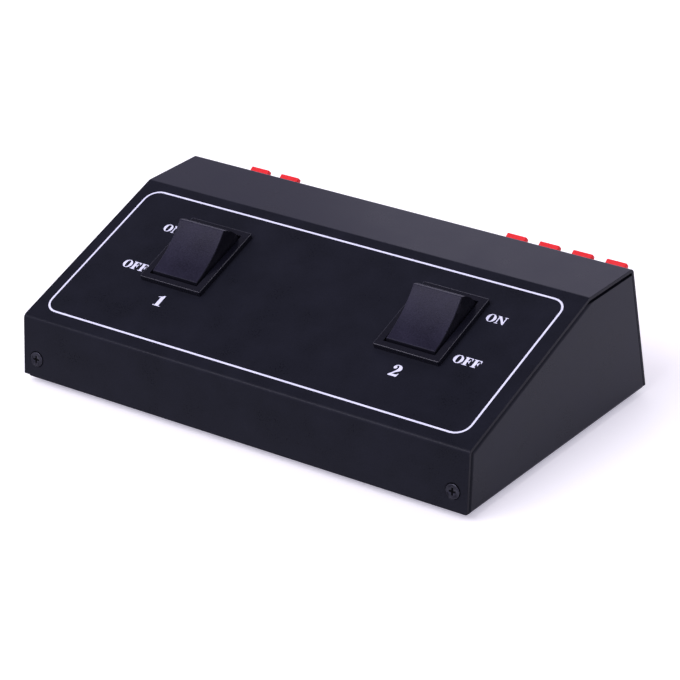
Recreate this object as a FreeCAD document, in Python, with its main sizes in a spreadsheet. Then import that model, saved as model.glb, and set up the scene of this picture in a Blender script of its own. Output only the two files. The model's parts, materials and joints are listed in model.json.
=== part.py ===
"""Speaker selector switch: a wedge-shaped steel box with two rocker switches and push-lever terminals.

Millimetres. +X to the right, +Y to the rear, +Z up. The origin is under the middle of the whole
object, on the surface that its feet stand on.
"""
import FreeCAD, Part
import math
import os
import Sketcher

Vector = FreeCAD.Vector
doc = FreeCAD.newDocument("SpeakerSelector")

# ---------------------------------------------------------------- driving dimensions

SIZES = {
    # bent sheet case
    "case_width": 180.0,
    "case_depth": 107.1,  # at the bottom
    "case_height": 47.05,
    "front_height": 22.25,
    "front_set_back": 1.9,  # how far the front wall leans back at its top
    "slope_run": 68.9,  # level length of the sloping panel
    "top_strip": 26.9,
    "sheet": 1.2,
    "bend": 2.0,  # outer radius of the cover's bends
    "tray_bend": 1.6,
    "front_lift": 1.2,  # the cover's lower edges stop above the tray's underside
    "rear_lift": 1.0,
    "seam_gap": 0.2,
    "top_gap": 1.1,
    "flange": 10.0,
    "tab_gap": 5.1,  # between the rear tab and the terminal plates
    "tab_height": 12.0,
    # rubber feet
    "foot_height": 2.0,
    "foot_radius": 5.0,
    "foot_inset": 14.0,
    "foot_round": 0.6,
    # cover screws
    "screw_radius": 1.5,
    "screw_length": 6.0,
    "screw_head_radius": 2.6,
    "screw_dome": 0.25,
    "screw_sunk": 0.15,
    "screw_side": 5.5,
    "screw_rise": 7.55,
    "tab_screw_inset": 8.0,
    "cross_width": 0.65,
    "cross_depth": 0.9,
    "cross_span": 2.6,
    "screw_gap": 0.05,
    "clearance_gap": 0.2,
    # switch bezel and body, in the sloping panel
    "switch_offset": 47.9,
    "switch_along": 44.4,
    "bezel_side_lip": 1.8,
    "bezel_end_lip": 1.2,
    "bezel_height": 2.0,
    "bezel_corner": 0.5,
    "bezel_bevel": 0.4,
    "well_width": 20.0,
    "well_wall": 0.9,
    "well_end_wall": 1.1,
    "body_depth": 20.0,
    "body_floor": 1.5,
    "cutout_gap": 0.1,
    "barb_out": 0.7,
    "barb_drop": 5.0,
    "barb_width": 8.0,
    # rocker
    "rocker_side_gap": 0.6,
    "rocker_end_gap": 0.5,
    "rocker_radius": 12.8,
    "rocker_half_angle": 38.0,
    "rocker_tilt": 20.0,
    "rocker_dish": 1.3,
    "rocker_skirt": 2.0,
    "rocker_wall": 1.5,
    "rocker_skin": 1.6,
    "rocker_round": 0.4,
    "pivot_depth": 1.4,
    "pin_radius": 1.2,
    "pin_gap": 0.05,
    "pin_reach": 0.8,
    "tube_wall": 0.85,
    "tube_drop": 7.5,
    # plungers and their springs
    "plunger_radius": 1.5,
    "plunger_tip": 1.2,
    "plunger_slide": 0.15,  # clearance in its tube
    "plunger_gap": 0.5,  # over the middle of the contact plate
    "plunger_top": 1.5,
    "plunger_neck": 8.6,
    "coil_gap": 0.25,
    "coil_wire": 0.2,
    "coil_pitch": 0.9,
    # rocking contact plates
    "plate_depth": 14.5,
    "plate_arm": 6.3,
    "plate_angle": 15.0,
    "plate_thick": 0.6,
    "plate_width": 4.0,
    "plate_tilt": 7.0,
    "rib_radius": 0.8,
    # blades
    "blade_width": 6.3,
    "blade_thick": 0.8,
    "blade_length": 9.0,
    "blade_side_gap": 1.55,
    "saddle_length": 3.0,
    "saddle_height": 1.7,
    "output_offset": 9.4,
    "contact_gap": 0.3,
    "tongue_length": 4.0,
    "sleeve_side": 0.8,
    "sleeve_face": 1.1,
    "sleeve_length": 7.0,
    "slot_gap": 0.05,
    # terminal blocks, in the rear wall
    "input_margin": 10.7,  # from the case's side to the plate
    "speaker_margin": 3.7,
    "terminal_pitch": 13.0,
    "row_low": 9.9,
    "row_rise": 18.0,
    "plate_front": 2.4,
    "plate_under": 1.8,
    "plate_over": 0.7,
    "plate_lip": 1.4,
    "plate_corner": 1.2,
    "block_back": 15.0,
    "block_floor": 1.7,
    "block_roof": 1.3,
    "screw_land": 2.8,
    "cell_side_gap": 0.6,  # beside a lever
    "cell_low": 1.9,
    "cell_headroom": 0.8,
    "window_side_gap": 0.4,
    "window_gap": 0.6,  # over and under a lever's swing
    "wire_hole": 1.5,
    "hole_flare": 0.7,
    # levers
    "lever_width": 7.8,
    "lever_thick": 4.0,
    "lever_tip": 2.0,
    "lever_taper": 9.0,
    "lever_reach": 15.4,
    "lever_angle": 32.0,
    "lever_travel": 16.0,
    "lever_rise": 5.1,
    "lever_round": 0.5,
    "hub_radius": 2.6,
    "hub_gap": 0.2,
    "trunnion_radius": 1.2,
    "trunnion_reach": 0.9,
    "trunnion_end_gap": 0.15,
    "groove_radius": 0.4,
    "groove_first": 9.6,
    "groove_pitch": 1.6,
    # contact springs
    "strip_width": 5.0,
    "strip_thick": 0.5,
    "strip_start": 3.0,
    "strip_inset": 1.4,
    "lug_width": 3.0,
    "lug_reach": 3.6,
    "spring_gap": 0.3,
    "spring_bend": 1.0,
    # terminal block screws
    "small_screw_radius": 1.25,
    "small_screw_length": 12.0,
    "small_head_radius": 2.3,
    "small_head_height": 1.4,
    "small_screw_rise": 14.0,  # above the lower row of wire holes
    # hook-up wire
    "wire_radius": 1.05,
    "wire_bend": 5.0,
    "wire_spread": 1.5,
    "wire_rise": 7.0,
    "return_rise": 5.0,
    "wire_forward": 11.0,
    "wire_leave": 5.25,
}

sizes = doc.addObject("Spreadsheet::Sheet", "Sizes")
for row, (alias, value) in enumerate(SIZES.items(), 1):
    sizes.set(f"A{row}", alias.replace("_", " "))
    sizes.set(f"B{row}", str(value))
    sizes.setAlias(f"B{row}", alias)
doc.recompute()

# ---------------------------------------------------------------- values worked out from them

WORKED = {
    "slope_angle": "atan2(Sizes.case_height - Sizes.front_height; Sizes.slope_run) / 1 deg",
    "front_lean": "atan2(Sizes.front_set_back; Sizes.front_height) / 1 deg",
    "slope_top": "Sizes.front_set_back + Sizes.slope_run",
    "top_rear": "Worked.slope_top + Sizes.top_strip",
    "rear_fall": "(Sizes.case_depth - Worked.top_rear) / Sizes.case_height",
    "front_fall": "Sizes.front_set_back / Sizes.front_height",
    "slope_rate": "(Sizes.case_height - Sizes.front_height) / Sizes.slope_run",
    "rear_lean": "atan(Worked.rear_fall) / 1 deg",
    # the tray's outline lies one sheet and a seam inside the cover's outer face
    "inset": "Sizes.sheet + Sizes.seam_gap",
    "front_stretch": "sqrt(1 + Worked.front_fall ^ 2)",
    "slope_stretch": "sqrt(1 + Worked.slope_rate ^ 2)",
    "rear_stretch": "sqrt(1 + Worked.rear_fall ^ 2)",
    "tray_height": "Sizes.case_height - Sizes.sheet - Sizes.top_gap",
    # how far the levers reach out past the foot of the rear wall
    "pivot_z": "Sizes.row_low + Sizes.lever_rise",
    "lever_in": "Sizes.sheet + Sizes.hub_radius + Sizes.hub_gap",
    "lever_out": (
        "Sizes.lever_reach * cos(Sizes.lever_angle * 1 deg) - Worked.lever_in"
        " + (Sizes.lever_tip - Sizes.lever_thick / 2) * sin(Sizes.lever_angle * 1 deg)"
    ),
    "lever_up": (
        "Worked.pivot_z + Sizes.lever_reach * sin(Sizes.lever_angle * 1 deg)"
        " - (Sizes.lever_tip - Sizes.lever_thick / 2) * cos(Sizes.lever_angle * 1 deg)"
    ),
    "rear_reach": (
        "Worked.lever_out * cos(Worked.rear_lean * 1 deg)"
        " - Worked.lever_up * sin(Worked.rear_lean * 1 deg)"
    ),
    "front_y": "-(Sizes.case_depth + Worked.rear_reach) / 2",
    # the middle of the switches on the sloping panel
    "panel_y": (
        "Worked.front_y + Sizes.front_set_back + Sizes.switch_along * cos(Worked.slope_angle * 1 deg)"
    ),
    "panel_z": (
        "Sizes.foot_height + Sizes.front_height + Sizes.switch_along * sin(Worked.slope_angle * 1 deg)"
    ),
    "well_length": "2 * (Sizes.rocker_radius + Sizes.rocker_end_gap)",
    "body_half_width": "Sizes.well_width / 2 + Sizes.well_wall",
    "body_half_length": "Worked.well_length / 2 + Sizes.well_end_wall",
    "bezel_width": "2 * (Worked.body_half_width + Sizes.bezel_side_lip)",
    "bezel_length": "2 * (Worked.body_half_length + Sizes.bezel_end_lip)",
    "rocker_width": "Sizes.well_width - 2 * Sizes.rocker_side_gap",
    "rocker_top": "Sizes.rocker_radius * sin(Sizes.rocker_half_angle * 1 deg)",
    "rocker_edge": "Sizes.rocker_radius * cos(Sizes.rocker_half_angle * 1 deg)",
    "dish_radius": "(Worked.rocker_edge ^ 2 + Sizes.rocker_dish ^ 2) / (2 * Sizes.rocker_dish)",
    "ceiling": "Worked.rocker_top - Sizes.rocker_dish - Sizes.rocker_skin",
    "tube_bore": "Sizes.plunger_radius + Sizes.plunger_slide",
    "tube_radius": "Worked.tube_bore + Sizes.tube_wall",
    "coil_radius": "Worked.tube_bore - Sizes.coil_wire - Sizes.coil_gap",
    "plunger_reach": (
        "Sizes.plate_depth - Sizes.pivot_depth - Sizes.plate_thick - Sizes.plunger_gap"
    ),
    "pole_offset": "Sizes.well_width / 2 - Sizes.blade_width / 2 - Sizes.blade_side_gap",
    "sleeve_width": "Sizes.blade_width + 2 * Sizes.sleeve_side",
    "sleeve_thick": "Sizes.blade_thick + 2 * Sizes.sleeve_face",
    "row_high": "Sizes.row_low + Sizes.row_rise",
    "cell_width": "Sizes.lever_width + 2 * Sizes.cell_side_gap",
    "window_width": "Sizes.lever_width + 2 * Sizes.window_side_gap",
    "window_low": (
        "Sizes.lever_rise + (Worked.lever_in - Sizes.sheet)"
        " * tan((Sizes.lever_angle - Sizes.lever_travel) * 1 deg) - Sizes.lever_thick / 2"
        " / cos((Sizes.lever_angle - Sizes.lever_travel) * 1 deg) - Sizes.window_gap"
    ),
    "window_high": (
        "Sizes.lever_rise + (Worked.lever_in + Sizes.plate_front) * tan(Sizes.lever_angle * 1 deg)"
        " + Sizes.lever_thick / 2 / cos(Sizes.lever_angle * 1 deg) + Sizes.window_gap"
    ),
    "cell_high": "Worked.window_high + Sizes.cell_headroom",
    "block_low": "Sizes.cell_low + Sizes.block_floor",
    "block_high": "Worked.cell_high + Sizes.block_roof",
    "plate_low": "Worked.block_low + Sizes.plate_under",
    "plate_high": "Worked.block_high + Sizes.plate_over",
    "strip_back": "Sizes.block_back - Sizes.strip_inset",
    "input_half": "Sizes.terminal_pitch + Sizes.screw_land",
    "speaker_half": "2 * Sizes.terminal_pitch",
    "input_x": (
        "Sizes.case_width / 2 - Sizes.input_margin - Sizes.plate_lip - Worked.input_half"
    ),
    "speaker_x": (
        "Sizes.case_width / 2 - Sizes.speaker_margin - Sizes.plate_lip - Worked.speaker_half"
    ),
    "tab_half": "Worked.speaker_x - Worked.speaker_half - Sizes.plate_lip - Sizes.tab_gap",
    "rear_screw_x": "Worked.tab_half - Sizes.tab_screw_inset",
}

worked = doc.addObject("App::VarSet", "Worked")
for name, formula in WORKED.items():
    worked.addProperty("App::PropertyFloat", name)
    worked.setExpression(name, formula)
doc.recompute()

# ---------------------------------------------------------------- frames

# Each frame is the case turned about X: a level place for its origin, a height and a turn in degrees.
FRAMES = {
    "case": ("Worked.front_y", "Sizes.foot_height", "0"),
    "front": ("Worked.front_y", "Sizes.foot_height", "-Worked.front_lean"),
    "panel": ("Worked.panel_y", "Worked.panel_z", "Worked.slope_angle"),
    "rear": ("Worked.front_y + Sizes.case_depth", "Sizes.foot_height", "Worked.rear_lean"),
}


def stand(thing, frame, across="0", turn="0", y="0", z="0"):
    """Place a thing in a frame, at y and z along that frame's own axes, with a turn of its own."""
    base_y, base_z, lean = FRAMES[frame]
    thing.Placement = FreeCAD.Placement(Vector(), FreeCAD.Rotation(Vector(1, 0, 0), 1))
    thing.setExpression(".Placement.Base.x", across)
    along = f"(({y}) * cos(({lean}) * 1 deg) - ({z}) * sin(({lean}) * 1 deg))"
    up = f"(({y}) * sin(({lean}) * 1 deg) + ({z}) * cos(({lean}) * 1 deg))"
    thing.setExpression(".Placement.Base.y", f"{base_y} + {along}")
    thing.setExpression(".Placement.Base.z", f"{base_z} + {up}")
    thing.setExpression(".Placement.Rotation.Angle", f"({lean}) + ({turn})")
    return thing


# ---------------------------------------------------------------- primitives and booleans


def box(name, size, middle_x, low_y, low_z):
    """A block that is centred across, with its low corner at low_y and low_z."""
    block = doc.addObject("Part::Box", name)
    block.setExpression("Length", size[0])
    block.setExpression("Width", size[1])
    block.setExpression("Height", size[2])
    block.setExpression(".Placement.Base.x", f"({middle_x}) - ({size[0]}) / 2")
    block.setExpression(".Placement.Base.y", low_y)
    block.setExpression(".Placement.Base.z", low_z)
    return block


TURNS = {
    "x": FreeCAD.Rotation(Vector(0, 1, 0), 90),
    "y": FreeCAD.Rotation(Vector(1, 0, 0), -90),
    "z": FreeCAD.Rotation(),
}


def rod(name, radius, length, start, axis="z"):
    """A cylinder that runs from start along an axis."""
    cylinder = doc.addObject("Part::Cylinder", name)
    cylinder.Placement = FreeCAD.Placement(Vector(), TURNS[axis])
    cylinder.setExpression("Radius", radius)
    cylinder.setExpression("Height", length)
    for letter, place in zip("xyz", start):
        cylinder.setExpression(f".Placement.Base.{letter}", place)
    return cylinder


def cone(name, radii, length, start, axis):
    """A cone between two radii, running from start along an axis."""
    taper = doc.addObject("Part::Cone", name)
    taper.Placement = FreeCAD.Placement(Vector(), TURNS[axis])
    taper.setExpression("Radius1", radii[0])
    taper.setExpression("Radius2", radii[1])
    taper.setExpression("Height", length)
    for letter, place in zip("xyz", start):
        taper.setExpression(f".Placement.Base.{letter}", place)
    return taper


def fuse(name, *pieces):
    joined = doc.addObject("Part::MultiFuse", name)
    joined.Shapes = list(pieces)
    return joined


def common(name, *pieces):
    shared = doc.addObject("Part::MultiCommon", name)
    shared.Shapes = list(pieces)
    return shared


def group(name, *pieces):
    """Separate solids kept as one thing."""
    gathered = doc.addObject("Part::Compound", name)
    gathered.Links = list(pieces)
    return gathered


def cut(name, base, *tools):
    less = doc.addObject("Part::Cut", name)
    less.Base = base
    less.Tool = tools[0] if len(tools) == 1 else group(f"{name}_cutters", *tools)
    return less


def mirrored(name, source):
    """A copy on the other side of the middle plane X = 0."""
    copy = doc.addObject("Part::Mirroring", name)
    copy.Source = source
    copy.Normal = Vector(1, 0, 0)
    return copy


# ---------------------------------------------------------------- sketched bodies


def plane_of(body, role):
    return next(item for item in body.Origin.OriginFeatures if item.Role == role)


def blank_sketch(body, plane, name):
    sketch = body.newObject("Sketcher::SketchObject", name)
    sketch.AttachmentSupport = [(plane_of(body, plane), "")]
    sketch.MapMode = "FlatFace"
    return sketch


def pin_point(sketch, geometry, point, across, up):
    """Fix a point of the sketch at two formulas, measured from the sketch's origin."""
    for kind, formula in (("DistanceX", across), ("DistanceY", up)):
        row = sketch.addConstraint(Sketcher.Constraint(kind, -1, 1, geometry, point, 1.0))
        sketch.setExpression(f"Constraints[{row}]", formula)


def outline(body, plane, name, corners):
    """A closed outline of straight lines through corners given as pairs of formulas."""
    sketch = blank_sketch(body, plane, name)
    count = len(corners)
    ring = [2 * math.pi * step / count for step in range(count)]
    rough = [Vector(math.cos(angle), math.sin(angle), 0) for angle in ring]
    sketch.addGeometry([Part.LineSegment(rough[i], rough[(i + 1) % count]) for i in range(count)])
    for i in range(count):
        sketch.addConstraint(Sketcher.Constraint("Coincident", i, 2, (i + 1) % count, 1))
    for i, (across, up) in enumerate(corners):
        pin_point(sketch, i, 1, across, up)
    return sketch


def rectangle(body, plane, name, width, length):
    """A rectangle about the sketch's origin."""
    left, low = f"-({width}) / 2", f"-({length}) / 2"
    right, high = f"({width}) / 2", f"({length}) / 2"
    return outline(body, plane, name, [(left, low), (right, low), (right, high), (left, high)])


def circles(body, plane, name, radius, middles):
    sketch = blank_sketch(body, plane, name)
    for across, up in middles:
        row = sketch.addGeometry(Part.Circle(Vector(), Vector(0, 0, 1), 1.0))
        size = sketch.addConstraint(Sketcher.Constraint("Radius", row, 1.0))
        sketch.setExpression(f"Constraints[{size}]", radius)
        pin_point(sketch, row, 3, across, up)
    return sketch


def pad(body, sketch, length, both_ways=False, downward=False):
    feature = body.newObject("PartDesign::Pad", f"{sketch.Name}Pad")
    feature.Profile = sketch
    feature.Midplane = both_ways
    feature.Reversed = downward
    feature.setExpression("Length", length)
    doc.recompute()
    return feature


def pocket(body, sketch, length):
    """A pocket cut to both sides of the sketch's plane, length in all."""
    before = body.Shape.Volume
    feature = body.newObject("PartDesign::Pocket", f"{sketch.Name}Pocket")
    feature.Profile = sketch
    feature.Midplane = True
    feature.setExpression("Length", length)
    doc.recompute()
    if not body.Shape.Volume < before:
        raise RuntimeError(f"{feature.Name} cuts nothing")
    return feature


def names_where(kind, pieces, test):
    return [f"{kind}{number}" for number, piece in enumerate(pieces, 1) if test(piece)]


def round_edges(body, test, radius, kind="Fillet", size="Radius"):
    """Round, or bevel, the edges of a body that pass a test."""
    tip = body.Tip
    found = names_where("Edge", tip.Shape.Edges, test)
    feature = body.newObject(f"PartDesign::{kind}", f"{body.Name}{kind}")
    feature.Base = (tip, found)
    feature.setExpression(size, radius)
    doc.recompute()
    return feature


def hollow(body, test, wall):
    """Leave a wall inside a body, open at the faces that pass a test."""
    tip = body.Tip
    feature = body.newObject("PartDesign::Thickness", f"{body.Name}Wall")
    feature.Base = (tip, names_where("Face", tip.Shape.Faces, test))
    feature.setExpression("Value", wall)
    feature.Reversed = True
    feature.Join = 1
    doc.recompute()
    return feature


NEAR = 1e-4


def spans_x(edge, length):
    return abs(edge.BoundBox.XLength - length) < NEAR


def faces_along_x(face):
    return face.BoundBox.XLength < NEAR


# ---------------------------------------------------------------- cover and tray


def sunk_hole(inward):
    """A countersunk screw hole through a wall whose outer face is y = 0 and whose inside is inward."""
    throat = "(Sizes.screw_radius + Sizes.clearance_gap)"
    mouth = "(Sizes.screw_head_radius + Sizes.screw_sunk + Sizes.clearance_gap)"
    depth = f"({mouth} - {throat})"
    if inward == "1":
        sink = cone("Sink", (mouth, throat), depth, ("0", "0", "0"), "y")
    else:
        sink = cone("Sink", (throat, mouth), depth, ("0", f"-{depth}", "0"), "y")
    hole = rod("SinkThroat", throat, "4 * Sizes.sheet", ("0", "-2 * Sizes.sheet", "0"), "y")
    return fuse("SunkHole", sink, hole)


def case_cover():
    """One sheet bent into front wall, sloping panel, top strip and rear wall."""
    body = doc.addObject("PartDesign::Body", "CoverBent")
    corners = [
        ("Sizes.front_lift * Worked.front_fall", "Sizes.front_lift"),
        ("Sizes.front_set_back", "Sizes.front_height"),
        ("Worked.slope_top", "Sizes.case_height"),
        ("Worked.top_rear", "Sizes.case_height"),
        ("Sizes.case_depth - Sizes.rear_lift * Worked.rear_fall", "Sizes.rear_lift"),
    ]
    pad(body, outline(body, "YZ_Plane", "CoverSide", corners), "Sizes.case_width", both_ways=True)
    lowest = sizes.front_lift + sizes.rear_lift
    round_edges(
        body,
        lambda edge: spans_x(edge, sizes.case_width) and edge.BoundBox.ZMin > lowest,
        "Sizes.bend",
    )
    hollow(
        body,
        lambda face: faces_along_x(face) or face.BoundBox.ZMax < lowest,
        "Sizes.sheet",
    )
    stand(body, "case")
    openings = []
    for side in ("-", ""):
        hole = box(
            "SwitchOpening",
            (
                "2 * (Worked.body_half_width + Sizes.cutout_gap)",
                "2 * (Worked.body_half_length + Sizes.cutout_gap)",
                "4 * Sizes.sheet",
            ),
            "0",
            "-(Worked.body_half_length + Sizes.cutout_gap)",
            "-2 * Sizes.sheet",
        )
        openings.append(stand(group("SwitchCut", hole), "panel", f"{side}Sizes.switch_offset"))
        hole = sunk_hole("1")
        across = f"{side}(Sizes.case_width / 2 - Sizes.screw_side)"
        openings.append(stand(hole, "front", across, z="Sizes.screw_rise"))
        hole = sunk_hole("-1")
        across = f"{side}Worked.rear_screw_x"
        openings.append(stand(hole, "rear", across, z="Sizes.screw_rise"))
    for half, across in (
        ("Worked.input_half", "-Worked.input_x"),
        ("Worked.speaker_half", "Worked.speaker_x"),
    ):
        hole = box(
            "TerminalOpening",
            (
                f"2 * ({half} - Sizes.plate_lip + Sizes.cutout_gap)",
                "4 * Sizes.sheet",
                "Worked.row_high - Sizes.row_low + Sizes.cell_low + Worked.cell_high"
                " + 2 * Sizes.cutout_gap",
            ),
            "0",
            "-2 * Sizes.sheet",
            "Sizes.row_low - Sizes.cell_low - Sizes.cutout_gap",
        )
        openings.append(stand(group("TerminalCut", hole), "rear", across))
        for side in ("-", ""):
            hole = rod(
                "BlockScrewHole",
                "Sizes.small_screw_radius + Sizes.clearance_gap",
                "4 * Sizes.sheet",
                (
                    f"{side}Sizes.terminal_pitch",
                    "-2 * Sizes.sheet",
                    "Sizes.row_low + Sizes.small_screw_rise",
                ),
                "y",
            )
            openings.append(stand(group("BlockScrewCut", hole), "rear", across))
    return cut("cover_shell", body, *openings)


def tray_outline(inset, bottom):
    """Front, slope and bottom lines of the case side, moved in, and carried on to the cover's top."""
    shoulder = (
        f"Sizes.front_set_back + ({inset}) * (Worked.front_stretch - Worked.front_fall"
        " * Worked.slope_stretch) / (1 - Worked.front_fall * Worked.slope_rate)"
    )
    drop = f"({inset}) * Worked.slope_stretch"
    return [
        (f"({inset}) * Worked.front_stretch + ({bottom}) * Worked.front_fall", bottom),
        (
            shoulder,
            f"Sizes.front_height + Worked.slope_rate * ({shoulder} - Sizes.front_set_back) - {drop}",
        ),
        (f"Worked.slope_top + ({drop}) / Worked.slope_rate", "Sizes.case_height"),
    ]


def tray_block(name, inset, bottom, width, bend, rear):
    """A solid of the tray's outline with its side bends rounded."""
    body = doc.addObject("PartDesign::Body", name)
    sketch = outline(body, "YZ_Plane", f"{name}Side", tray_outline(inset, bottom) + rear)
    pad(body, sketch, width, both_ways=True)
    side = max(edge.BoundBox.XMax for edge in body.Shape.Edges)
    top = max(edge.BoundBox.ZMax for edge in body.Shape.Edges)

    def bent(edge):
        extent = edge.BoundBox
        on_side = extent.XLength < NEAR and abs(abs(extent.XMin) - side) < NEAR
        bottom_or_front = extent.YMin < worked.slope_top / 2
        return on_side and bottom_or_front and extent.ZMin < top - NEAR

    round_edges(body, bent, bend)
    return body


def base_tray():
    """Bottom and side panels from one sheet, with flanges turned in under the cover."""
    rear_foot = "Sizes.case_depth - Worked.inset * Worked.rear_stretch"
    whole = tray_block(
        "TrayOutside",
        "Worked.inset",
        "0",
        "Sizes.case_width",
        "Sizes.tray_bend",
        [(f"{rear_foot} - Sizes.case_height * Worked.rear_fall", "Sizes.case_height"), (rear_foot, "0")],
    )
    inside = tray_block(
        "TrayInside",
        "Worked.inset + Sizes.sheet",
        "Sizes.sheet",
        "Sizes.case_width - 2 * Sizes.sheet",
        "Sizes.tray_bend - Sizes.sheet",
        [("2 * Sizes.case_depth", "Sizes.case_height"), ("2 * Sizes.case_depth", "Sizes.sheet")],
    )
    middle = box(
        "TrayMiddle",
        (
            "Sizes.case_width - 2 * (Sizes.sheet + Sizes.flange)",
            "2 * Sizes.case_depth",
            "Sizes.case_height",
        ),
        "0",
        "-Sizes.flange",
        "Sizes.sheet",
    )
    over = box(
        "TrayTop",
        ("2 * Sizes.case_width", "3 * Sizes.case_depth", "Sizes.case_height"),
        "0",
        "-Sizes.case_depth",
        "Worked.tray_height",
    )
    tab = doc.addObject("PartDesign::Body", "TrayTab")
    lean = f"{rear_foot} - Sizes.tab_height * Worked.rear_fall"
    thick = "Sizes.sheet * Worked.rear_stretch"
    corners = [
        (rear_foot, "0"),
        (lean, "Sizes.tab_height"),
        (f"{lean} - {thick}", "Sizes.tab_height"),
        (f"{rear_foot} - {thick}", "0"),
    ]
    pad(tab, outline(tab, "YZ_Plane", "TrayTabSide", corners), "2 * Worked.tab_half", both_ways=True)
    shell = cut("TrayShell", whole, inside, middle, over)
    sheet = stand(group("TraySheet", fuse("TrayFused", shell, tab)), "case")
    holes = []
    for side in ("-", ""):
        hole = rod(
            "FrontTap",
            "Sizes.screw_radius + Sizes.screw_gap",
            "4 * Sizes.sheet",
            ("0", "0", "Sizes.screw_rise"),
            "y",
        )
        across = f"{side}(Sizes.case_width / 2 - Sizes.screw_side)"
        holes.append(stand(group("FrontTapCut", hole), "front", across))
        hole = rod(
            "RearTap",
            "Sizes.screw_radius + Sizes.screw_gap",
            "4 * Sizes.sheet",
            ("0", "-4 * Sizes.sheet", "Sizes.screw_rise"),
            "y",
        )
        holes.append(stand(group("RearTapCut", hole), "rear", f"{side}Worked.rear_screw_x"))
    return cut("base_tray", sheet, *holes)


def feet():
    """Four round rubber feet under the tray."""
    pads = []
    for side in ("-", ""):
        for along in ("Sizes.foot_inset", "Sizes.case_depth - Sizes.foot_inset"):
            body = doc.addObject("PartDesign::Body", "Foot")
            disc = circles(body, "XY_Plane", "FootDisc", "Sizes.foot_radius", [("0", "0")])
            pad(body, disc, "Sizes.foot_height", downward=True)
            round_edges(body, lambda edge: edge.BoundBox.ZMax < -NEAR, "Sizes.foot_round")
            across = f"{side}(Sizes.case_width / 2 - Sizes.foot_inset)"
            pads.append(stand(body, "case", across, y=along))
    return group("feet", *pads)


# ---------------------------------------------------------------- screws


def cross_slots(face):
    """A cross recess cut in from a screw's outer face."""
    depth = "2 * Sizes.cross_depth"
    low = f"{face} - Sizes.cross_depth"
    long, short = "Sizes.cross_span", "Sizes.cross_width"
    return fuse(
        "Cross",
        box("CrossSlot", (long, depth, short), "0", low, f"-{short} / 2"),
        box("CrossSlot", (short, depth, long), "0", low, f"-{long} / 2"),
    )


def pan_screw(radius, length, head_radius, head_height):
    """A cross-head screw along Y: its head stands on the plane y = 0 and its shank runs to +Y."""
    body = doc.addObject("PartDesign::Body", "Screw")
    head = circles(body, "XZ_Plane", "ScrewHead", head_radius, [("0", "0")])
    pad(body, head, head_height)
    round_edges(
        body,
        lambda edge: edge.BoundBox.YMax < -NEAR,
        f"({head_height}) * 0.55",
    )
    shank = circles(body, "XZ_Plane", "ScrewShank", radius, [("0", "0")])
    pad(body, shank, length, downward=True)
    return cut("CrossHead", body, cross_slots(f"-({head_height})"))


def sunk_screw():
    """A countersunk screw along Y: a low dome just above the plane y = 0, a cone and a shank."""
    low = "Sizes.screw_sunk"
    taper = "(Sizes.screw_head_radius - Sizes.screw_radius)"
    body = doc.addObject("PartDesign::Body", "ScrewDome")
    rim = circles(body, "XZ_Plane", "ScrewRim", "Sizes.screw_head_radius", [("0", "0")])
    pad(body, rim, "Sizes.screw_dome + Sizes.screw_sunk")
    round_edges(
        body,
        lambda edge: edge.BoundBox.YMax < -NEAR,
        "0.8 * (Sizes.screw_dome + Sizes.screw_sunk)",
    )
    body.setExpression(".Placement.Base.y", low)
    radii = ("Sizes.screw_head_radius", "Sizes.screw_radius")
    start = ("0", low, "0")
    head = cone("ScrewCone", radii, taper, start, "y")
    shank = rod("ScrewShank", "Sizes.screw_radius", f"Sizes.screw_length - {low}", start, "y")
    return cut("SunkScrew", fuse("SunkScrewBlank", body, head, shank), cross_slots("-Sizes.screw_dome"))


def turned_round(name, thing):
    """The same thing facing the other way, by mirroring it front to back."""
    copy = doc.addObject("Part::Mirroring", name)
    copy.Source = thing
    copy.Normal = Vector(0, 1, 0)
    return group(f"{name}Held", copy)


def cover_screws():
    """Two screws into the tray's front flanges and two into its rear tab."""
    placed = []
    for side in ("-", ""):
        across = f"{side}(Sizes.case_width / 2 - Sizes.screw_side)"
        placed.append(stand(sunk_screw(), "front", across, z="Sizes.screw_rise"))
        screw = turned_round("RearScrew", sunk_screw())
        across = f"{side}Worked.rear_screw_x"
        placed.append(stand(screw, "rear", across, z="Sizes.screw_rise"))
    return group("cover_screws", *placed)


def terminal_screws():
    placed = []
    for block in ("-Worked.input_x", "Worked.speaker_x"):
        for side in ("-", "+"):
            screw = pan_screw(
                "Sizes.small_screw_radius",
                "Sizes.small_screw_length",
                "Sizes.small_head_radius",
                "Sizes.small_head_height",
            )
            turned = turned_round("TerminalScrew", screw)
            stand(
                turned,
                "rear",
                f"{block} {side} Sizes.terminal_pitch",
                y="Sizes.plate_front",
                z="Sizes.row_low + Sizes.small_screw_rise",
            )
            placed.append(turned)
    return group("terminal_screws", *placed)


# ---------------------------------------------------------------- rocker switches


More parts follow.
